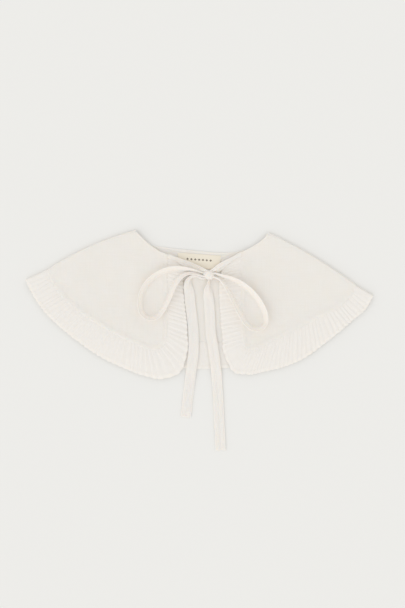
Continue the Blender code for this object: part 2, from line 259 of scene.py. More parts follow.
# Uneven cloth: nine sine waves of about the given length, each in its own direction, added up and
# divided by three.
def ripple(plan, size, seed):
    draw = np.random.default_rng(seed)
    total = np.zeros(plan.shape[:-1])
    for _ in range(9):
        turn, length, start = draw.uniform(0, tau), size * draw.uniform(0.7, 1.5), draw.uniform(0, tau)
        along = plan[..., 0] * math.cos(turn) + plan[..., 1] * math.sin(turn)
        total += np.sin(along * tau / length + start)
    return total / 3


# Each crease is a soft ridge or trough along a line: a bell curve across it, fading out at both ends.
def creaseHeight(plan, creases):
    total = np.zeros(plan.shape[:-1])
    for x0, y0, x1, y1, width, height in creases:
        run = np.array([x1 - x0, y1 - y0], float)
        length = np.linalg.norm(run)
        run /= length
        fromStart = plan[..., :2] - np.array([x0, y0])
        share = (fromStart @ run) / length
        bend = 0.03 * length * np.sin(math.pi * np.clip(share, 0, 1))
        aside = fromStart @ np.array([-run[1], run[0]]) - bend
        ends = softStep(share, 0.0, 0.35) * softStep(1 - share, 0.0, 0.35)
        total += height * np.exp(-((aside / width) ** 2)) * ends
    return total


# How far each point is from the seam, and at what share of the seam its nearest point lies: the
# nearest of 500 points on it, and from there the foot of the perpendicular on the seam's direction.
def seamDistance(plan, edge):
    share = np.linspace(0, 1, 500)
    line = smoothLine(edge, share)[:, :2]
    step = np.gradient(line, axis=0)
    far, where = [], []
    for row in plan:
        nearest = np.linalg.norm(row[:, None] - line, axis=-1).argmin(axis=-1)
        away, ahead = row - line[nearest], step[nearest]
        beyond = np.clip((away * ahead).sum(axis=-1) / (ahead**2).sum(axis=-1), -0.6, 0.6)
        far.append(np.linalg.norm(away - beyond[:, None] * ahead, axis=-1))
        where.append((nearest + beyond) / (len(share) - 1))
    return np.array(far), np.array(where)


# How far each point is from the neck edge, along its straight line to the seam.
def neckDistance(neck, shares, edge, across):
    return across[:, None] * np.linalg.norm(edge[..., 0:2] - smoothLine(neck, shares), axis=-1)


# The height of a front that lies on the back panel: it rests low in the middle, and rises to the
# shoulder fold and to the gathered seam on bell curves of the distance to each.
def lyingHeight(plan, fromFold, fromSeam):
    propped = 1 - (1 - np.exp(-((fromFold / cloth["foldReach"]) ** 2))) * (
        1 - np.exp(-((fromSeam / cloth["seamReach"]) ** 2))
    )
    x, y = plan[..., 0], plan[..., 1]
    swell = np.sin(tau * (x + 0.4 * y) / cloth["swellLong"]) * np.cos(tau * y / cloth["swellWide"])
    return cloth["lie"] + (foldTop - cloth["lie"]) * propped + cloth["swell"] * swell * (1 - propped)


# The middle of a front's cloth in plan. around is -2 to -1 on the part tucked under, -1 to 0 round
# the shoulder fold and 0 to 1 from there to the neck end. across is 0 at the neck, 1 at the seam
# and 2 at the ruffle's hem: straight lines from the neck edge to the seam and on to the hem.
def frontPlan(front, around, across):
    inward = np.array(front["inward"])
    over = np.clip(around, 0, 1)
    neck = smoothLine(front["neck"], over)[None]
    edge = smoothLine(front["edge"], over)[None]
    seam, tip = edge[..., 0:2], edge[..., 2:4]
    panel = np.minimum(across, 1)[:, None, None]
    frill = np.maximum(across - 1, 0)[:, None, None]
    bow = front["bow"] * 4 * panel * (1 - panel) * fading(over, 0.35)[None, :, None]
    turn = math.pi * np.clip(-around, 0, 1)
    tuck = cloth["tuck"] * np.clip(-around - 1, 0, 1)
    setIn = np.where(
        around > 0,
        cloth["foldRadius"] * fading(over, 0.3),
        cloth["foldRadius"] * (1 - np.sin(turn)) + tuck,
    )
    plan = neck + (seam - neck) * panel + (tip - seam) * frill + inward * (setIn[None, :, None] - bow)
    fromFold = ((plan - neck[:, :1]) @ inward).clip(0)
    folded = cloth["half"] + cloth["foldRadius"] * (1 + np.cos(turn))
    return plan, fromFold, np.broadcast_to(folded, plan.shape[:2]), edge


# Points from their plan and their heights.
def stack(plan, height):
    return np.concatenate([plan, np.broadcast_to(height, plan.shape[:-1])[..., None]], axis=-1)


# The normal of a grid of points, on the side that faces up at its last column.
def upNormals(middle):
    normal = unit(np.cross(np.gradient(middle, axis=1), np.gradient(middle, axis=0)))
    return normal * np.sign(normal[len(middle) // 2, -2, 2])


# Shares 0 to 1 with extra steps close to both ends, where a rim of the given half thickness rounds.
def rimmed(shares, length, half):
    close = np.array([0.0, 0.12, 0.4, 1.0]) * half / length
    inside = shares[(shares > close[-1]) & (shares < 1 - close[-1])]
    return np.concatenate([close, inside, 1 - close[::-1]])


# Half the thickness: full inside, and a quarter circle down to nothing at each rim.
def rimHalf(rowShares, rowLength, columnShares, columnLength, half):
    def profile(shares, length):
        inward = np.clip(np.minimum(shares, 1 - shares) * length / half, 0, 1)
        return np.sqrt(1 - (1 - inward) ** 2)

    rows = profile(np.asarray(rowShares), rowLength)
    columns = profile(np.asarray(columnShares), columnLength)
    return half * np.minimum(rows[:, None], columns[None])


# One mesh from closed sheets of cloth. Each sheet's points are its middle surface plus and minus
# the normal times half the thickness there; on the rim both faces share their points.
def clothPiece(name, sheets, material):
    points, faces, weave = [], [], []
    count = 0
    for middle, half, pattern in sheets:
        rows, columns = middle.shape[:2]
        normal = unit(np.cross(np.gradient(middle, axis=1), np.gradient(middle, axis=0)))
        inner = np.zeros((rows, columns), bool)
        inner[1:-1, 1:-1] = True
        over = np.arange(rows * columns).reshape(rows, columns)
        under = over.copy()
        under[inner] = rows * columns + np.arange(inner.sum())
        offset = half[..., None] * normal
        for grid, flip in ((over, 1), (under, -1)):
            corners = [grid[:-1, :-1], grid[:-1, 1:], grid[1:, 1:], grid[1:, :-1]]
            faces.append(np.stack(corners, axis=-1).reshape(-1, 4)[:, ::flip] + count)
        points += [(middle + offset).reshape(-1, 3), (middle - offset)[inner]]
        weave += [pattern.reshape(-1, 2), pattern[inner]]
        count += rows * columns + int(inner.sum())
    return meshObject(name, np.concatenate(points), faces, np.concatenate(weave), material)


# An object from points in millimetres and groups of faces, each group with one number of corners.
def meshObject(name, points, faceGroups, weave, material):
    mesh = bpy.data.meshes.new(name)
    mesh.vertices.add(len(points))
    mesh.vertices.foreach_set("co", ((points + shift) * mm).astype(np.float32).ravel())
    corners = np.concatenate([faces.ravel() for faces in faceGroups]).astype(np.int32)
    sizes = np.concatenate([np.full(len(faces), faces.shape[1]) for faces in faceGroups])
    mesh.loops.add(len(corners))
    mesh.loops.foreach_set("vertex_index", corners)
    mesh.polygons.add(len(sizes))
    mesh.polygons.foreach_set("loop_start", (np.cumsum(sizes) - sizes).astype(np.int32))
    mesh.update(calc_edges=True)
    layer = mesh.uv_layers.new(name="weave")
    layer.data.foreach_set("uv", weave[corners].astype(np.float32).ravel())
    mesh.shade_smooth()
    mesh.validate()
    mesh.materials.append(material)
    made = bpy.data.objects.new(name, mesh)
    scene.collection.objects.link(made)
    return made


# An sRGB hex colour as the linear values that a shader takes.
def hexColour(text):
    values = np.array([int(text[i:i + 2], 16) for i in (0, 2, 4)]) / 255
    linear = np.where(values <= 0.04045, values / 12.92, ((values + 0.055) / 1.055) ** 2.4)
    return (*linear.tolist(), 1.0)


# One node, with its properties and unlinked inputs from settings and its linked inputs from links.
def addNode(tree, kind, settings, links=None):
    node = tree.nodes.new(kind)
    for key, value in settings.items():
        if isinstance(key, str) and hasattr(node, key):
            setattr(node, key, value)
        else:
            node.inputs[key].default_value = value
    for key, source in (links or {}).items():
        tree.links.new(source, node.inputs[key])
    return node


# A new material, its node tree and its shader, with the shader's inputs set.
def newMaterial(name, settings):
    made = bpy.data.materials.new(name)
    made.use_nodes = True
    shader = made.node_tree.nodes["Principled BSDF"]
    for key, value in settings.items():
        shader.inputs[key].default_value = value
    return made, made.node_tree, shader


# Plain-woven cotton: matt, with a faint fuzz that lightens it at a glancing angle, threads that
# cross at right angles and a few thicker ones that show as soft lines. The real threads are 0.3 mm
# apart, too fine to show, so they are drawn at the spacing given.
def plainCotton(name, look):
    made, tree, shader = newMaterial(name, {
        "Roughness": look["roughness"], "IOR": 1.47, "Specular IOR Level": 0.25,
        "Sheen Weight": look["sheen"], "Sheen Roughness": 0.5,
        "Subsurface Weight": look["glow"], "Subsurface Radius": (1.0, 0.85, 0.7),
        "Subsurface Scale": look["glowDeep"] * mm,
    })
    place = addNode(tree, "ShaderNodeUVMap", {"uv_map": "weave"}).outputs["UV"]
    warp, weft = (addNode(tree, "ShaderNodeTexWave", {
        "bands_direction": direction, "Scale": waveSpan / look["thread"],
        "Distortion": 1.2, "Detail": 1.0, "Detail Scale": 0.4,
    }, {"Vector": place}) for direction in ("X", "Y"))
    threads = addNode(tree, "ShaderNodeMath", {"operation": "MULTIPLY"}, {
        0: warp.outputs["Fac"], 1: weft.outputs["Fac"],
    })
    slubs = []  # the thicker threads: noise drawn out long one way, then the other
    for across, along in ((0.9, 0.035), (0.03, 0.8)):
        stretched = addNode(
            tree, "ShaderNodeMapping", {"Scale": (across, along, 1.0)}, {"Vector": place})
        slubs.append(addNode(tree, "ShaderNodeTexNoise", {
            "Scale": 1.0, "Detail": 3.0, "Roughness": 0.6,
        }, {"Vector": stretched.outputs["Vector"]}))
    slub = addNode(tree, "ShaderNodeMath", {"operation": "ADD"}, {
        0: slubs[0].outputs["Fac"], 1: slubs[1].outputs["Fac"],
    })
    crinkle = addNode(tree, "ShaderNodeTexNoise", {
        "Scale": 1 / look["crinkle"], "Detail": 4.0, "Roughness": 0.55, "Distortion": 0.4,
    }, {"Vector": place})
    tone = addNode(tree, "ShaderNodeMapRange", {
        "From Min": 0.7, "From Max": 1.3, "To Min": 0.0, "To Max": 1.0,
    }, {"Value": slub.outputs["Value"]})
    colour = addNode(tree, "ShaderNodeMix", {
        "data_type": "RGBA", 6: hexColour(look["shade"]), 7: hexColour(look["colour"]),
    }, {0: tone.outputs["Result"]})
    tree.links.new(colour.outputs[2], shader.inputs["Base Color"])
    bumps = None
    for source, depth in (
        (crinkle.outputs["Fac"], look["crinkleDeep"]),
        (slub.outputs["Value"], look["slubDeep"]),
        (threads.outputs["Value"], look["threadDeep"]),
    ):
        links = {"Height": source}
        if bumps:
            links["Normal"] = bumps.outputs["Normal"]
        bumps = addNode(tree, "ShaderNodeBump", {"Strength": 1.0, "Distance": depth * mm}, links)
    tree.links.new(bumps.outputs["Normal"], shader.inputs["Normal"])
    return made


# Woven label tape: smoother than the cotton, with fine ribs across it and, in the middle, a row of
# small dark lozenges in place of words.
def wovenTape(name, look):
    made, tree, shader = newMaterial(name, {
        "Roughness": 0.62, "IOR": 1.5, "Specular IOR Level": 0.35,
        "Sheen Weight": 0.1, "Sheen Roughness": 0.4,
    })
    place = addNode(tree, "ShaderNodeUVMap", {"uv_map": "weave"}).outputs["UV"]
    parts = addNode(tree, "ShaderNodeSeparateXYZ", {}, {"Vector": place})

    values = {"x": parts.outputs["X"], "y": parts.outputs["Y"]}
    # A lozenge is where |x| / half its width + |y| / half its height is under 1, in every step.
    for result, operation, first, second in (
        ("steps", "DIVIDE", "x", look["step"]),
        ("shifted", "ADD", "steps", 100.5),
        ("inStep", "FRACT", "shifted", 0.0),
        ("centred", "SUBTRACT", "inStep", 0.5),
        ("aside", "ABSOLUTE", "centred", 0.0),
        ("asideShare", "DIVIDE", "aside", look["lozengeWide"] / look["step"] / 2),
        ("fromRow", "SUBTRACT", "y", look["rowAt"]),
        ("up", "ABSOLUTE", "fromRow", 0.0),
        ("upShare", "DIVIDE", "up", look["lozengeHigh"] / 2),
        ("total", "ADD", "asideShare", "upShare"),
        ("lozenge", "LESS_THAN", "total", 1.0),
        ("along", "ABSOLUTE", "x", 0.0),
        ("inRow", "LESS_THAN", "along", look["rowHalf"]),
        ("mask", "MULTIPLY", "lozenge", "inRow"),
    ):
        settings, links = {"operation": operation}, {0: values[first]}
        if isinstance(second, str):
            links[1] = values[second]
        else:
            settings[1] = second
        values[result] = addNode(tree, "ShaderNodeMath", settings, links).outputs["Value"]
    colour = addNode(tree, "ShaderNodeMix", {
        "data_type": "RGBA", 6: hexColour(look["colour"]), 7: hexColour(look["mark"]),
    }, {0: values["mask"]})
    tree.links.new(colour.outputs[2], shader.inputs["Base Color"])
    ribs = addNode(tree, "ShaderNodeTexWave", {
        "bands_direction": "Y", "Scale": waveSpan / look["rib"], "Distortion": 0.3,
    }, {"Vector": place})
    bump = addNode(tree, "ShaderNodeBump", {"Strength": 1.0, "Distance": look["ribDeep"] * mm}, {
        "Height": ribs.outputs["Fac"],
    })
    tree.links.new(bump.outputs["Normal"], shader.inputs["Normal"])
    return made


# Sewing thread: spun polyester, a little brighter and glossier than the cloth it lies on, with the
# slanting ridges of its twist.
def sewingThread(name, look):
    made, tree, shader = newMaterial(name, {
        "Roughness": 0.5, "IOR": 1.5, "Specular IOR Level": 0.4,
        "Base Color": hexColour(look["colour"]),
    })
    place = addNode(tree, "ShaderNodeUVMap", {"uv_map": "weave"}).outputs["UV"]
    twist = addNode(tree, "ShaderNodeTexWave", {
        "bands_direction": "DIAGONAL", "Scale": waveSpan / look["twist"], "Distortion": 0.2,
    }, {"Vector": place})
    bump = addNode(tree, "ShaderNodeBump", {"Strength": 1.0, "Distance": look["twistDeep"] * mm}, {
        "Height": twist.outputs["Fac"],
    })
    tree.links.new(bump.outputs["Normal"], shader.inputs["Normal"])
    return made


# Lengths and depths in these looks are in millimetres. glow is how much light passes through.
cottonLook = {
    "colour": "F5EEE6", "shade": "F1E9DF", "roughness": 0.92, "sheen": 0.12, "glow": 0.6,
    "glowDeep": 1.5, "thread": 0.7, "crinkle": 7.0, "crinkleDeep": 0.16, "slubDeep": 0.07,
    "threadDeep": 0.04,
}
# The ruffle is the same cloth as the panels, but its colour and shade are painted lighter: painted
# light for what comes through its one layer, and to lift the shade between its gathers.
ruffleLookPaintedLighter = dict(cottonLook, colour="F8F1E9", shade="F4EDE3", glow=0.2, crinkle=5.0)
tieLook = dict(cottonLook, colour="F5EEE7", shade="F2EAE1", crinkle=5.0, crinkleDeep=0.12)
labelLook = {
    "colour": "F3E8D2", "mark": "6A5F50", "step": 5.2, "lozengeWide": 3.6, "lozengeHigh": 3.4,
    "rowHalf": 17.9, "rowAt": 2.0, "rib": 0.5, "ribDeep": 0.04,
}
threadLook = {"colour": "F4EEE6", "twist": 0.35, "twistDeep": 0.03}
cotton = plainCotton("plainCottonLawn", cottonLook)
ruffleCottonPaintedLighter = plainCotton("singleLayerLawnPaintedLighter", ruffleLookPaintedLighter)  # one layer of the same cloth
tieCotton = plainCotton("foldedCottonTie", tieLook)
tape = wovenTape("wovenLabelTape", labelLook)
thread = sewingThread("spunSewingThread", threadLook)
print("materials made")


# The seam's relief: inside the seam two turned edges make a low raised band, a narrow valley runs
# along the seam itself, and the gathering thread pulls short puckers into the panel.
def seamRelief(fromSeam, share, waves):
    pastBand = softStep(fromSeam, allowance["wide"] - 1.2, allowance["wide"] + 1.2)
    band = allowance["high"] * (1 - pastBand)
    valley = allowance["valley"] * np.exp(-((fromSeam / allowance["valleyWide"]) ** 2))
    pull = 0.6 + 0.4 * np.sin(tau * share * waves / 3.7 + 1.0)
    puckers = allowance["pucker"] * pull * np.sin(tau * share * waves)
    puckers = puckers * np.exp(-fromSeam / allowance["puckerReach"])
    groove = allowance["groove"] * np.exp(-(((fromSeam - allowance["stitched"]) / 0.8) ** 2))
    return band - valley + puckers - groove


# Along the neck the turned edge stands a little higher, down to its row of stitches.
def neckRelief(fromNeck):
    band = neckEdge["high"] * (1 - softStep(fromNeck, neckEdge["wide"] - 0.8, neckEdge["wide"] + 0.8))
    return band - neckEdge["groove"] * np.exp(-(((fromNeck - neckEdge["stitched"]) / 0.7) ** 2))


# A front's middle surface: in plan the straight lines of frontPlan, in height the lying height with
# its creases, unevenness and reliefs, and round the fold and on the tuck the fold's own height.
def frontSurface(front, around, across):
    plan, fromFold, folded, edge = frontPlan(front, around, across)
    fromSeam, share = seamDistance(plan, front["edge"])
    lying = lyingHeight(plan, fromFold, fromSeam)
    detail = creaseHeight(plan, front["creases"])
    detail += cloth["uneven"] * ripple(plan, cloth["unevenSize"], front["seed"])
    detail += cloth["fine"] * ripple(plan, cloth["fineSize"], front["seed"] + 20)
    detail += neckRelief(neckDistance(front["neck"], np.clip(around, 0, 1), edge, across))
    detail += seamRelief(fromSeam, share, front["waves"])
    flat = softStep(around, 0.0, 0.05)[None]
    height = np.where(around[None] > 0, lying + detail * flat, folded)
    return stack(plan, height)


foldSteps = np.concatenate([[-2.0, -1.9, -1.6, -1.3], np.linspace(-1, 0, 15)])


# The stations along a front from the end of its tuck: as frontPlan takes them, and as shares of the
# whole cut, of which the tuck and the fold take up a fiftieth.
def frontStations(shares):
    around = np.concatenate([foldSteps, shares[1:]])
    return around, np.concatenate([(foldSteps + 2) * 0.01, 0.02 + shares[1:] * 0.98])


def frontPanel(name, front, node):
    half = cloth["panel"] / 2
    around, columns = frontStations(rimmed(np.linspace(0, 1, 300), rough["frontLong"], half))
    rows = np.concatenate([np.linspace(0, 0.86, 46), np.linspace(0.868, 1, 17)])
    across = rimmed(rows, rough["frontDeep"], half)
    middle = frontSurface(front, around, across)
    thick = rimHalf(across, rough["frontDeep"], columns, rough["frontLong"], half)
    made = clothPiece(name, [(middle, thick, middle[..., :2])], cotton)
    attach(made, "root")
    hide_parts(node)
    return made


# Gathers: a sine for each wave, of unlike heights and strays, higher towards the hem in some places
# and dying out in others; near the seam small pleats at twice and three times the number.
def gatherHeight(share, t, waves):
    count = share * waves
    wave = np.floor(count)
    unlike = 0.82 + 0.18 * np.sin(2.4 * wave) * np.cos(0.9 * wave + waves)
    stray = 0.6 * np.sin(0.83 * count + 1.1 * t) + 0.4 * np.sin(1.71 * count + 2.0 - 1.6 * t)
    phase = tau * count + gather["wander"] * stray
    patch = 0.72 + 0.28 * np.sin(0.41 * count + 0.7) * np.cos(0.17 * count + 1.9)
    size = gather["seam"] + (gather["tip"] * patch - gather["seam"]) * t
    main = size * unlike * np.sin(phase + 0.25 * np.sin(phase))
    near = np.exp(-t / gather["pleatReach"]) * softStep(t, -0.02, 0.06)
    pleats = gather["pleat"] * near * np.sin(2 * phase + 1.7 * np.sin(0.61 * count))
    pleats += 0.5 * gather["pleat"] * near * np.sin(3 * phase + 2.1 * np.sin(0.43 * count + 1))
    return main + pleats


# Half the strip's thickness, with the step up to its hem.
def ruffleThickness(t, columns, length):
    half = cloth["ruffle"] / 2
    hemmed = softStep(t, gather["hemRow"] - 0.02, gather["hemRow"] + 0.01)
    thick = rimHalf(t, rough["ruffleDeep"], columns, length, half)
    return thick * (1 + cloth["hem"] / half / 2 * hemmed)[:, None]


# The strip's own flat coordinates in millimetres, along it before it was gathered and across it.
def ruffleWeave(t, columns, length):
    return np.stack(np.broadcast_arrays(
        (columns * length * gather["fullness"])[None], (t * rough["ruffleCut"])[:, None]), axis=-1)


# A front's ruffle: in plan the straight lines from seam to hem, a little pulled in under the panel.
# The strip droops with the power 1.5 of the share of its depth, its hem sags with the fourth power,
# and the gathers stand along its normals. At both ends they die out.
def ruffleSurface(front, around, t):
    plan, _, folded, edge = frontPlan(front, around, 1 + t)
    outward = unit(edge[..., 2:4] - edge[..., 0:2])
    plan = plan - outward * gather["under"] * fading(t, 0.2)[:, None, None]
    fromRoot = (t * rough["ruffleDeep"])[:, None]
    between = softStep(around, 0.0, 0.06) * softStep(1 - around, 0.0, 0.05)
    drop = edge[..., 4] * t[:, None] ** 1.5 + gather["sag"] * t[:, None] ** 4 * between[None]
    dip = gather["rootDip"] * np.exp(-((fromRoot / gather["rootReach"]) ** 2))
    middle = stack(plan, np.where(around[None] > 0, foldTop - drop - dip, folded))
    over = np.clip(around, 0, 1)
    fromEnd = (1 - over) * rough["frontLong"] / gather["endReach"]
    calm = (np.clip(around, 0, 0.03) / 0.03 * (1 - 0.75 * np.exp(-(fromEnd**2))))[None]
    waves = gatherHeight(over[None], t[:, None], front["waves"])
    waves = waves * (0.2 + 0.8 * softStep(fromRoot, 0.6, 3.6))
    uneven = ripple(plan, gather["crumpleSize"], front["seed"] + 40)
    waves = waves + gather["crumple"] * t[:, None] * uneven
    middle = middle + (waves * calm)[..., None] * upNormals(middle)
    swing = np.cos(tau * over * front["waves"])[None] * calm
    scallop = gather["scallop"] * softStep(t, 0.7, 1.0)[:, None] * swing
    middle[..., :2] += scallop[..., None] * outward
    return middle


# Shares of the ruffle's depth, closer together near the seam and at the hem.
ruffleRows = rimmed(
    np.concatenate([np.linspace(0, 0.3, 9), np.linspace(0.35, 0.85, 9), np.linspace(0.87, 1, 5)]),
    rough["ruffleDeep"], cloth["ruffle"] / 2)


def frontRuffle(name, front, node):
    shares = np.linspace(0, 1, front["waves"] * gather["columns"] + 1)
    around, columns = frontStations(rimmed(shares, rough["frontLong"], cloth["ruffle"] / 2))
    made = clothPiece(name, [(
        ruffleSurface(front, around, ruffleRows),
        ruffleThickness(ruffleRows, columns, rough["frontLong"]),
        ruffleWeave(ruffleRows, columns, rough["frontLong"]),
    )], ruffleCottonPaintedLighter)
    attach(made, "root")
    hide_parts(node)
    return made


# The back in plan, as the fronts: straight lines from the neck edge to the seam and the hem, with
# both ends stopping at the shoulder seams.
def backPlan(along, across):
    neck = smoothLine(backPiece["neck"], along)[None]
    edge = smoothLine(backPiece["edge"], along)[None]
    seam, tip = edge[..., 0:2], edge[..., 2:4]
    panel = np.minimum(across, 1)[:, None, None]
    frill = np.maximum(across - 1, 0)[:, None, None]
    plan = neck + (seam - neck) * panel + (tip - seam) * frill
    for front, share in ((leftFront, along), (rightFront, 1 - along)):
        bow = front["bow"] * 4 * panel * (1 - panel)
        setIn = cloth["foldRadius"] + cloth["tuck"] + cloth["seamGap"] - bow
        plan = plan + np.array(front["inward"]) * setIn * fading(share, 0.25)[None, :, None]
    return plan, edge


# The back panel's middle lies half its thickness above the table, and only its creases, unevenness
# and reliefs stand up from there.
def backPanel(name):
    half = cloth["back"] / 2
    along = rimmed(np.linspace(0, 1, 220), rough["backLong"], half)
    rows = np.concatenate([
        np.linspace(0, 0.1, 10), np.linspace(0.12, 0.9, 34), np.linspace(0.91, 1, 10),
    ])
    across = rimmed(rows, rough["backDeep"], half)
    plan, edge = backPlan(along, across)
    fromSeam, share = seamDistance(plan, backPiece["edge"])
    lift = cloth["backUneven"] * (1 + ripple(plan, cloth["backUnevenSize"], backPiece["seed"]))
    lift += creaseHeight(plan, backPiece["creases"])
    lift += neckRelief(neckDistance(backPiece["neck"], along, edge, across))
    lift += backPiece["seamShare"] * seamRelief(fromSeam, share, backPiece["waves"])
    middle = stack(plan, half + np.clip(lift, 0, None))
    thick = rimHalf(across, rough["backDeep"], along, rough["backLong"], half)
    made = clothPiece(name, [(middle, thick, middle[..., :2])], cotton)
    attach(made, "root")
    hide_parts("collar_back")
    return made


# The back's ruffle lies flat on the table. Its gathers rise from there, from less at both ends, and
# its root comes up to the middle of the panel's edge.
def backRuffleSurface(along, t):
    plan, edge = backPlan(along, 1 + t)
    outward = unit(edge[..., 2:4] - edge[..., 0:2])
    plan = plan - outward * gather["under"] * fading(t, 0.2)[:, None, None]
    waves = gatherHeight(along[None], t[:, None], backPiece["waves"])
    ends = np.clip(np.minimum(along, 1 - along) / 0.04, 0, 1)[None]
    low = cloth["ruffle"] / 2 + cloth["hem"] / 2
    raised = gather["backShare"] * waves + gather["backRise"]
    height = low + raised.clip(0, gather["backHigh"]) * (0.25 + 0.75 * ends)
    height = height - 0.15 * np.exp(-(((t - gather["hemRow"]) / 0.02) ** 2))[:, None]
    root = cloth["back"] / 2
    height = root + (height - root) * softStep(t * rough["ruffleDeep"], 0.3, 4.0)[:, None]
    return stack(plan, height)


def backRuffle(name):
    shares = np.linspace(0, 1, backPiece["waves"] * gather["backColumns"] + 1)
    along = rimmed(shares, rough["backHem"], cloth["ruffle"] / 2)
    made = clothPiece(name, [(
        backRuffleSurface(along, ruffleRows),
        ruffleThickness(ruffleRows, along, rough["backHem"]),
        ruffleWeave(ruffleRows, along, rough["backHem"]),
    )], ruffleCottonPaintedLighter)
    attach(made, "root")
    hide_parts("ruffle_back")
    return made


panelBack = backPanel("panelBack")
ruffleBack = backRuffle("ruffleBack")
panelLeft = frontPanel("panelLeft", leftFront, "collar_front_left")
panelRight = frontPanel("panelRight", rightFront, "collar_front_right")
ruffleLeft = frontRuffle("ruffleLeft", leftFront, "ruffle_front_left")
ruffleRight = frontRuffle("ruffleRight", rightFront, "ruffle_front_right")
print("panels and ruffles made")


tie = {
    "flat": 14.0, "thick": 1.0, "solidThick": 1.2,
    "bunch": 1.25, "folds": 1.5,  # the lengthwise folds where it is drawn together: height, number
    "drawnBy": 7.0,  # how many millimetres narrower it is where they stand full
    "curl": 0.25, "press": 0.1,  # its edges' lift, and how narrow the crease along its middle is
    "sway": 0.18, "swayTurns": 31.0,  # one edge up and the other down, by turns
}
# Each stretch of tie: the middle of the strip, the height of its lower edge, how far it is turned
# up on edge in degrees, and its width. lean is the side that its upper edge leans to, crease how
# deep its middle is pressed in, and sewn the share that is sewn flat along the ruffle's neck end.
# Where a stretch meets the knot, its line goes on inside it.
leftTie = {
    "lead": {"lean": -1, "crease": 0.0, "sewn": 0.55, "line": [
        (-41.5, 113.6, 5.6, 0, 5.0),
        (-30, 109.0, 5.5, 0, 5.2),
        (-20, 103.8, 5.2, 4, 8.6),
        (-9.8, 99.0, 3.5, 18, 10.5),
        (-0.9, 95.3, 2.8, 26, 10.0),
        (6.9, 93.3, 3.0, 46, 7.5),
        (12.0, 91.2, 3.0, 62, 6.0),
    ]},
    "loop": {"lean": 1, "crease": 0.0, "sewn": 0.0, "line": [
        (9.2, 89.4, 3.2, 88, 5.5),
        (5.6, 90.2, 2.3, 88, 6.5),
        (-4, 92.9, 4.8, 75, 8.5),
        (-14, 94.9, 7.0, 64, 10.5),
        (-28, 96.0, 7.4, 56, 12.0),
        (-45, 93.5, 6.9, 52, 12.0),
        (-60, 86, 5.2, 52, 12.0),
        (-71, 75, 5.0, 52, 12.0),
        (-77.5, 62, 5.0, 52, 12.0),
        (-79, 49, 5.0, 52, 12.0),
        (-76.5, 37.2, 5.0, 54, 12.0),
        (-69, 30.3, 5.0, 56, 12.0),
        (-59.5, 30.3, 5.0, 56, 12.0),
        (-51, 37.6, 5.8, 54, 12.0),
        (-44, 49.5, 7.0, 52, 12.0),
        (-38.5, 61.5, 7.4, 52, 12.0),
        (-33.5, 73, 7.4, 50, 11.8),
        (-26, 84.1, 7.3, 50, 11.2),
        (-15, 90.3, 6.6, 56, 10.2),
        (-4, 89.5, 4.4, 70, 8.2),
        (5.6, 86.3, 2.3, 88, 6.5),
        (9.2, 85.8, 3.2, 88, 5.5),
    ]},
    "tail": {"lean": 1, "crease": 0.25, "sewn": 0.0, "line": [
        (11, 84.4, 3.6, 88, 5.0),
        (5.6, 82.6, 2.2, 86, 6.0),
        (-1.5, 85.4, 2.0, 84, 6.5),
        (-8.6, 85.8, 1.9, 70, 8.2),
        (-13.6, 81.3, 1.8, 50, 10.4),
        (-14.8, 74, 1.9, 26, 12.8),
        (-13.1, 64, 1.8, 8, 13.8),
        (-11.9, 50, 1.8, 0, 14.0),
        (-9.8, 34, 1.8, 0, 14.0),
        (-7.9, 15, 1.8, 0, 14.0),
        (-7.2, -5, 2.4, 0, 14.0),
        (-8.0, -22, 2.7, 0, 14.0),
        (-10.2, -38, 2.5, 0, 14.0),
        (-12.2, -54, 0.6, 0, 14.0),
        (-14.2, -70, 0.0, 0, 14.0),
        (-16.2, -88, 0.0, 0, 14.0),
        (-17.8, -104, 0.0, 0, 14.0),
    ]},
    "flatLength": 0.520,
}
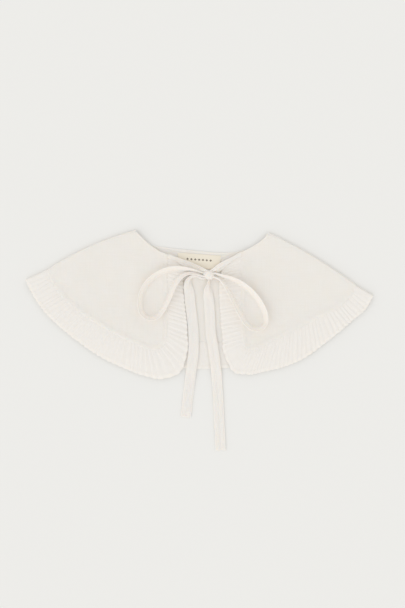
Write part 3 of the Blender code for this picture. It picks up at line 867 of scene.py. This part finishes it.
rightTie = {
    "lead": {"lean": 1, "crease": 0.0, "sewn": 0.6, "line": [
        (57.2, 116.7, 5.6, 0, 5.0),
        (45, 109.4, 5.5, 0, 5.2),
        (35, 103.2, 5.5, 4, 7.4),
        (28.8, 98.7, 5.2, 15, 9.6),
        (23.7, 94.9, 3.5, 28, 10.0),
        (19.2, 93.6, 3.0, 50, 7.2),
        (15.0, 90.6, 3.0, 62, 6.0),
    ]},
    "loop": {"lean": -1, "crease": 0.0, "sewn": 0.0, "line": [
        (17.6, 89.6, 3.4, 88, 5.5),
        (21.4, 89.8, 3.0, 88, 6.5),
        (26.5, 87.8, 6.0, 72, 8.0),
        (32, 85.8, 7.2, 64, 9.2),
        (41, 83.5, 7.2, 62, 10.5),
        (53, 78, 7.4, 55, 12.0),
        (65, 70, 6.4, 52, 12.0),
        (76, 59, 5.2, 52, 12.0),
        (84.5, 46, 5.0, 52, 12.0),
        (89.5, 33, 5.0, 54, 12.0),
        (88.5, 21.5, 5.0, 58, 12.0),
        (82, 15.5, 5.0, 58, 12.0),
        (73, 15.5, 5.0, 56, 12.0),
        (64.5, 22, 6.0, 54, 12.0),
        (57.5, 33, 7.2, 52, 12.0),
        (51, 45, 7.4, 52, 12.0),
        (45, 56.5, 7.4, 55, 11.5),
        (38.5, 68, 7.4, 60, 10.5),
        (32.6, 77.2, 7.4, 72, 8.5),
        (27.0, 82.6, 6.6, 80, 7.5),
        (21.4, 84.6, 3.0, 88, 6.5),
        (17.6, 86.2, 3.4, 88, 5.5),
    ]},
    "tail": {"lean": 1, "crease": 0.55, "sewn": 0.0, "line": [
        (14.6, 85.6, 3.4, 88, 5.0),
        (14, 81.6, 2.0, 84, 6.0),
        (13, 76, 1.9, 62, 8.0),
        (12.2, 69, 1.8, 34, 11.5),
        (12.4, 60, 1.8, 10, 13.5),
        (14, 44, 1.8, 0, 14.0),
        (15, 26, 1.8, 0, 14.0),
        (15.8, 10, 2.0, 0, 14.0),
        (18.5, -7, 2.7, 0, 14.0),
        (21, -24, 2.7, 0, 14.0),
        (22.8, -38, 2.5, 0, 14.0),
        (24.2, -54, 0.6, 0, 14.0),
        (25.6, -74, 0.0, 0, 14.0),
        (26.8, -100, 0.0, 0, 14.0),
        (28.2, -126, 0.0, 0, 14.0),
        (29.2, -149, 0.0, 0, 14.0),
    ]},
    "flatLength": 0.510,
}


# A strip carried along its line. Across it the points run from the lower to the upper edge, turned
# by the tilt. Where it is drawn together for the knot it folds lengthwise on a cosine. Where it lies
# open it stands up from a narrow crease along its middle, and its edges lift with the fourth power
# of the distance from there.
def tieSheet(stretch, at, across):
    line = smoothLine(stretch["line"], at)
    run = unit(np.gradient(line[:, :2], axis=0))
    side = stretch["lean"] * np.stack([run[:, 1], -run[:, 0]], axis=1)
    foot, tilt, width = line[:, 2].clip(0), np.radians(line[:, 3]), line[:, 4]
    upright, level = np.sin(tilt)[:, None], np.cos(tilt)[:, None]
    sideways = np.concatenate([level * side, upright], axis=1)
    normal = np.concatenate([-upright * side, level], axis=1)
    middleHeight = foot + width / 2 * np.sin(tilt) + tie["solidThick"] / 2 * np.abs(np.cos(tilt))
    middle = np.concatenate([line[:, :2], middleHeight[:, None]], axis=1)
    s = (across - 0.5)[:, None]
    drawn = np.clip((tie["flat"] - width) / tie["drawnBy"], 0, 1)[None] ** 0.7
    free = softStep(at, stretch["sewn"] - 0.15, stretch["sewn"] + 0.15)[None]
    folds = tie["bunch"] * drawn * free * np.cos(tau * tie["folds"] * s + 0.4)
    opened = (1 - drawn) ** 2
    pressed = stretch["crease"] * (1 - np.exp(-((s / tie["press"]) ** 2))) * opened
    curl = tie["curl"] * (2 * s) ** 4 * opened
    sway = tie["sway"] * opened * np.sin(at * tie["swayTurns"])[None] * s
    offset = folds + pressed + curl + sway
    aside = (s * width[None])[..., None] * sideways[None]
    return middle[None] + aside + offset[..., None] * normal[None]


# A tie in its three stretches, each with a station every 1.6 mm.
def makeTie(name, pieces, nodes):
    half = tie["thick"] / 2
    sheets = []
    for stretch in (pieces[key] for key in ("lead", "loop", "tail")):
        plan = np.array(stretch["line"])[:, :2]
        length = np.linalg.norm(np.diff(plan, axis=0), axis=1).sum()
        at = rimmed(np.linspace(0, 1, max(12, round(length / 1.6))), length, half)
        across = rimmed(np.linspace(0, 1, 15), tie["flat"], half)
        middle = tieSheet(stretch, at, across)
        weave = np.stack(np.broadcast_arrays(
            (across * tie["flat"])[:, None], (at * length)[None]), axis=-1)
        sheets.append((middle, rimHalf(across, tie["flat"], at, length, half), weave))
    made = clothPiece(name, sheets, tieCotton)
    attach(made, "root")
    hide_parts(*nodes)
    return made


tieLeft = makeTie("tieLeft", leftTie, ("tie_lead_left", "tie_loop_left", "tie_tail_left"))
tieRight = makeTie("tieRight", rightTie, ("tie_lead_right", "tie_loop_right", "tie_tail_right"))
print("ties made")

knot = {
    "x": 13.5, "y": 87.5, "z": 5.9, "turn": -12.0,
    "halfWide": 8.0, "halfDeep": 5.9, "halfHigh": 4.3,
    "square": 0.8,  # 1 is round, and less is squarer
    "blunt": 3.4,  # 2 would make its two ends round, and more is flatter
    "band": 0.56,  # the share of its length under the tie's turn, and how far that wanders
    "bandSway": 0.06,
    "waist": 0.78,  # its size beside the band
    "wraps": 1.45, "wrapHigh": 0.03, "skew": 0.5,  # soft ridges round it
    "fold": 0.07,  # depth of the two narrow folds
}


# The knot: round its long axis it is a rounded square, whose size falls to nothing at both ends. The
# tie's one turn round it is a wide band that stands above the rest, with two narrow folds aslant.
def knotPiece(name):
    rows, columns = 61, 72
    v = np.linspace(-1, 1, rows)[:, None]
    u = np.linspace(0, tau, columns, endpoint=False)[None]
    aside = np.abs(v + knot["bandSway"] * np.sin(u + 1.1))
    band = 1 - softStep(aside, knot["band"] - 0.05, knot["band"] + 0.08)
    size = np.sqrt(np.clip(1 - np.abs(v) ** knot["blunt"], 0, 1))
    size = size * (knot["waist"] + (1 - knot["waist"]) * band)
    ridges = knot["wrapHigh"] * np.cos(tau * knot["wraps"] * (v + 0.12 * np.sin(u + knot["skew"])))
    creases = knot["fold"] * np.exp(-(((v - 0.22 - 0.15 * np.cos(u)) / 0.07) ** 2))
    creases = creases + knot["fold"] * np.exp(-(((v + 0.3 + 0.1 * np.sin(2 * u)) / 0.06) ** 2))
    radius = size * (1 + (ridges - creases) * (1 - v**2))
    x = knot["halfWide"] * v + 0 * u
    y = knot["halfDeep"] * radius * np.sign(np.cos(u)) * np.abs(np.cos(u)) ** knot["square"]
    z = knot["halfHigh"] * radius * np.sign(np.sin(u)) * np.abs(np.sin(u)) ** knot["square"]
    turn = math.radians(knot["turn"])
    points = np.stack([
        knot["x"] + x * math.cos(turn) - y * math.sin(turn),
        knot["y"] + x * math.sin(turn) + y * math.cos(turn),
        knot["z"] + z,
    ], axis=-1)
    weave = np.stack(np.broadcast_arrays(u * 5.5, v * 9.0), axis=-1)

    def closed(values):  # each end row is one point, the pole
        between = values[1:-1].reshape(-1, values.shape[-1])
        return np.concatenate([values[0, :1], between, values[-1, :1]])

    grid = np.arange(-columns + 1, (rows - 1) * columns + 1).reshape(rows, columns).clip(0)
    ring = np.roll(grid, -1, axis=1)
    quads = np.stack([grid[1:-2], grid[2:-1], ring[2:-1], ring[1:-2]], axis=-1).reshape(-1, 4)
    fans = np.concatenate([
        np.stack([grid[0], grid[1], ring[1]], axis=-1),
        np.stack([np.full(columns, grid[-1, 0]), ring[-2], grid[-2]], axis=-1),
    ])
    made = meshObject(name, closed(points), [quads, fans], closed(weave), tieCotton)
    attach(made, "root")
    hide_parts("tie_knot")
    return made


bowKnot = knotPiece("bowKnot")
print("knot made")


# The label lies a little above the back panel, and its long edges curl up very slightly, with the
# fourth power of the distance from its middle line. A slow sine along it makes it uneven.
def labelSurface(along, across):
    turn = math.radians(label["turn"])
    x = ((along - 0.5) * label["wide"])[None] + 0 * across[:, None]
    y = ((across - 0.5) * label["high"])[:, None] + 0 * along[None]
    height = label["foot"] + label["thick"] / 2 + label["curl"] * (2 * y / label["high"]) ** 4
    height = height + label["uneven"] * np.sin(x / label["unevenSize"])
    plan = np.stack([
        label["x"] + x * math.cos(turn) - y * math.sin(turn),
        label["y"] + x * math.sin(turn) + y * math.cos(turn),
    ], axis=-1)
    return stack(plan, height), np.stack([x, y], axis=-1)


def labelPiece(name):
    half = label["thick"] / 2
    along = rimmed(np.linspace(0, 1, 40), label["wide"], half)
    across = rimmed(np.linspace(0, 1, 16), label["high"], half)
    middle, weave = labelSurface(along, across)
    thick = rimHalf(across, label["high"], along, label["wide"], half)
    made = clothPiece(name, [(middle, thick, weave)], tape)
    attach(made, "root")
    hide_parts("neck_label")
    return made


neckLabel = labelPiece("neckLabel")
print("label made")


stitch = {
    "pitch": 2.8, "long": 2.1, "wide": 0.42, "high": 0.3,
    "proud": 0.06, "hemProud": 0.05, "tieProud": 0.02,  # how far its middle stands above the cloth
}


# Points on the upper face of a grid of cloth, this high above its middle, at fractional rows and
# columns between the four nearest grid points, with the directions that point away from the cloth.
def onCloth(middle, rowAt, columnAt, high):
    normal = unit(np.cross(np.gradient(middle, axis=1), np.gradient(middle, axis=0)))
    rows, columns = middle.shape[:2]
    side = np.sign(normal[rows // 2, columns // 2, 2])
    row = np.clip(np.floor(rowAt).astype(int), 0, rows - 2)
    column = np.clip(np.floor(columnAt).astype(int), 0, columns - 2)
    a, b = (rowAt - row)[:, None], (columnAt - column)[:, None]

    def between(grid):
        low = grid[row, column] * (1 - b) + grid[row, column + 1] * b
        high = grid[row + 1, column] * (1 - b) + grid[row + 1, column + 1] * b
        return low * (1 - a) + high * a

    up = side * unit(between(normal))
    return between(middle) + high * up, up


# The fractional row of each column where a value that falls, row by row, passes the given one.
def rowWhere(grid, value):
    first = np.clip((grid > value).sum(axis=0) - 1, 0, len(grid) - 2)
    columns = np.arange(grid.shape[1])
    above, below = grid[first, columns], grid[first + 1, columns]
    return first + np.clip((above - value) / np.maximum(above - below, 1e-6), 0, 1)


# Evenly spaced stations along a line of points, by its length.
def stations(points, ups, pitch):
    along = np.concatenate([[0.0], np.cumsum(np.linalg.norm(np.diff(points, axis=0), axis=1))])
    at = np.arange(pitch, along[-1] - pitch / 2, pitch)
    place = np.stack([np.interp(at, along, points[:, i]) for i in range(3)], axis=-1)
    after = np.stack([np.interp(at + 0.4, along, points[:, i]) for i in range(3)], axis=-1)
    up = np.stack([np.interp(at, along, ups[:, i]) for i in range(3)], axis=-1)
    return place, unit(after - place), unit(up)


# Stitches are small beads: ellipsoids of four rings of six points and two ends, laid along the line.
def stitchRows(name, lines):
    turn = np.linspace(0, tau, 6, endpoint=False)
    level = np.array([-0.8, -0.3, 0.3, 0.8])
    ring = np.sqrt(1 - level**2)[:, None]
    bead = np.concatenate([
        np.stack([
            np.broadcast_to(level[:, None], (4, 6)), ring * np.cos(turn), ring * np.sin(turn),
        ], axis=-1).reshape(-1, 3),
        [[-1.0, 0, 0], [1.0, 0, 0]],
    ])
    ids = np.arange(24).reshape(4, 6)
    side = np.roll(ids, -1, axis=1)
    quads = np.stack([ids[:-1], ids[1:], side[1:], side[:-1]], axis=-1).reshape(-1, 4)[:, ::-1]
    capLow = np.stack([np.full(6, 24), ids[0], side[0]], axis=-1)[:, ::-1]
    capHigh = np.stack([np.full(6, 25), side[3], ids[3]], axis=-1)[:, ::-1]
    scale = np.array([stitch["long"], stitch["wide"], stitch["high"]]) / 2
    rows = [stations(*line, stitch["pitch"]) for line in lines]
    place, run, up = (np.concatenate(part) for part in zip(*rows))
    across = unit(np.cross(up, run))
    up = np.cross(run, across)
    frames = np.stack([run, across, up], axis=1)
    points = place[:, None] + (bead * scale)[None] @ frames
    count = len(place)
    steps = (np.arange(count) * len(bead))[:, None, None]
    weave = np.broadcast_to(bead[None, :, :2] * 2, (count, len(bead), 2)).reshape(-1, 2)
    caps = np.concatenate([capLow, capHigh])
    faceGroups = [(quads[None] + steps).reshape(-1, 4), (caps[None] + steps).reshape(-1, 3)]
    made = meshObject(name, points.reshape(-1, 3), faceGroups, weave, thread)
    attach(made, "root")
    print("stitches", name, count)
    return made


# The row of stitches along a hem, at one share of the ruffle's depth.
def hemLine(hem):
    rows, columns = hem.shape[:2]
    at = np.full(columns, (rows - 1) * gather["hemStitch"])
    return onCloth(hem, at, np.arange(float(columns)), cloth["ruffle"] / 2 + stitch["hemProud"])


# A front has a row along its seam, one along its neck edge and one along its hem.
def frontStitches(front):
    around = np.linspace(0.012, 0.994, 300)
    across = np.linspace(0, 1, 60)
    middle = frontSurface(front, around, across)
    plan, _, _, edge = frontPlan(front, around, across)
    fromSeam, _ = seamDistance(plan, front["edge"])
    fromNeck = neckDistance(front["neck"], around, edge, across)
    columns = np.arange(float(len(around)))
    high = cloth["panel"] / 2 + stitch["proud"]
    return [
        onCloth(middle, rowWhere(fromSeam, allowance["stitched"]), columns, high),
        onCloth(middle, rowWhere(-fromNeck, -neckEdge["stitched"]), columns, high),
        hemLine(ruffleSurface(front, np.linspace(0.004, 0.996, 1200), np.linspace(0, 1, 24))),
    ]


# The back has a row along its neck edge and one along its hem.
def backStitches():
    along = np.linspace(0.01, 0.99, 400)
    across = np.linspace(0, 0.2, 12)
    plan, edge = backPlan(along, across)
    fromNeck = neckDistance(backPiece["neck"], along, edge, across)
    middle = stack(plan, cloth["back"] / 2 + neckRelief(fromNeck) + 2 * stitch["proud"])
    rows = rowWhere(-fromNeck, -neckEdge["stitched"])
    return [
        onCloth(middle, rows, np.arange(float(len(along))), cloth["back"] / 2),
        hemLine(backRuffleSurface(np.linspace(0.002, 0.998, 1600), np.linspace(0, 1, 24))),
    ]


# A row of stitches near the edge that leans inwards, on the outer face of the loop and of the tail of
# each tie.
def tieStitches(pieces):
    lines = []
    for key, share in (("loop", 0.14), ("tail", 0.12)):
        middle = tieSheet(pieces[key], np.linspace(0.03, 0.985, 500), np.linspace(0, 1, 29))
        lines.append(onCloth(
            middle, np.full(500, 28 * share), np.arange(500.0), tie["thick"] / 2 + stitch["tieProud"]))
    return lines


# The label is sewn down along its two short ends.
def labelStitches():
    middle, _ = labelSurface(np.linspace(0, 1, 30), np.linspace(0, 1, 12))
    rows = np.linspace(0.6, 10.4, 40)
    ends = [np.full(40, 29 * share) for share in (0.03, 0.97)]
    return [onCloth(middle, rows, end, label["thick"] / 2) for end in ends]


stitchRows("stitchesLeftFront", frontStitches(leftFront))
stitchRows("stitchesRightFront", frontStitches(rightFront))
stitchRows("stitchesBack", backStitches())
stitchRows("stitchesLabel", labelStitches())
stitchRows("stitchesTies", tieStitches(leftTie) + tieStitches(rightTie))
print("stitches made")

# The camera looks straight down from distance metres. middleX and middleY are under its middle, and
# photoHigh and mmPerPixel give how much of the table the picture shows.
studio = {
    "mmPerPixel": 1.35, "middleX": 4.725, "middleY": 48.6, "photoHigh": 608,
    "distance": 2.2, "sensor": 36,
    "floor": "EFEEEA", "floorHalf": 4.0, "floorDown": 0.0002,
    "sky": "FFFFFE", "skyStrength": 0.765,
    "sunStrength": 0.695, "sunAngle": 75.0, "sunFrom": (-0.5, -0.68, 0.95),
    "gamma": 1.35,
}

# A table painted in matt off-white, so that it shows no shine.
paintedTable, _, _ = newMaterial("paintedTable", {
    "Base Color": hexColour(studio["floor"]), "Roughness": 0.9, "Specular IOR Level": 0.1,
})
floorMesh = bpy.data.meshes.new("floor")
corners = np.array([(-1, -1), (1, -1), (1, 1), (-1, 1)]) * studio["floorHalf"]
floorMesh.from_pydata([(x, y, -studio["floorDown"]) for x, y in corners.tolist()], [], [(0, 1, 2, 3)])
floorMesh.materials.append(paintedTable)
floor = bpy.data.objects.new("floor", floorMesh)
scene.collection.objects.link(floor)

world = bpy.data.worlds.new("studioSky")
scene.world = world
world.use_nodes = True
sky = world.node_tree.nodes["Background"]
sky.inputs["Color"].default_value = hexColour(studio["sky"])
sky.inputs["Strength"].default_value = studio["skyStrength"]

sunData = bpy.data.lights.new("softbox", "SUN")
sunData.energy = studio["sunStrength"]
sunData.angle = math.radians(studio["sunAngle"])
sun = bpy.data.objects.new("softbox", sunData)
sun.rotation_euler = Vector(studio["sunFrom"]).to_track_quat("Z", "Y").to_euler()
scene.collection.objects.link(sun)

cameraData = bpy.data.cameras.new("overhead")
cameraData.sensor_width = studio["sensor"]
shown = studio["photoHigh"] * studio["mmPerPixel"] * mm
cameraData.lens = studio["sensor"] * studio["distance"] / shown
camera = bpy.data.objects.new("overhead", cameraData)
camera.location = (
    (studio["middleX"] + shift[0]) * mm,
    (studio["middleY"] + shift[1]) * mm,
    studio["distance"],
)
scene.collection.objects.link(camera)
scene.camera = camera
scene.view_settings.view_transform = "Standard"
scene.view_settings.gamma = studio["gamma"]  # the photograph is bright, with lifted shadows
print("studio made")
